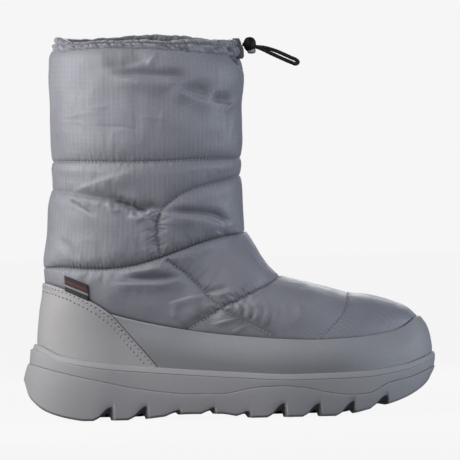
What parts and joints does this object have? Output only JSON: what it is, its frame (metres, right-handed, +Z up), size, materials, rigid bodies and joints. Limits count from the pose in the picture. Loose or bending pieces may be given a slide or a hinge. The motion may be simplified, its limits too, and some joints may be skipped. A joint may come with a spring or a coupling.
{
  "type": "quilted winter boot",
  "caption": "Down-filled quilted winter boot for the right foot with a gathered drawcord collar, coated rand and heel counter, and a thick foam and rubber sole with a lugged edge.",
  "frame": {"origin": "middle of the boot's length and width, on the floor under the sole", "axes": "+X from heel to toe, +Y to the inner side of the foot, +Z up"},
  "size_m": [0.2922, 0.1102, 0.2729],
  "materials": {
    "quilted_nylon": "satin ripstop nylon over down fill",
    "casing_nylon": "the same nylon, gathered",
    "rand_coated": "smooth coated synthetic leather",
    "counter_coated": "smooth coated synthetic leather",
    "foam": "moulded foam, fine matt skin",
    "sole_rubber": "moulded, matt",
    "grip_rubber": "matt black rubber",
    "insole_felt": "felt",
    "tag_woven": "woven, plain black",
    "tab_cloth": "folded cloth",
    "lock_plastic": "fine matt black",
    "elastic_cord": "braided elastic cord"
  },
  "bodies": {
    "root": {"upper": "quilted_nylon", "collar_casing": "casing_nylon", "rand": "rand_coated", "heel_counter": "counter_coated", "midsole": "foam", "outsole": "sole_rubber", "grip_pad_heel": "grip_rubber", "grip_pad_forefoot": "grip_rubber", "insole": "insole_felt", "side_tag": "tag_woven", "cord_tab": "tab_cloth", "cord_lock": "lock_plastic", "drawcord": "elastic_cord"}
  },
  "joints": []
}
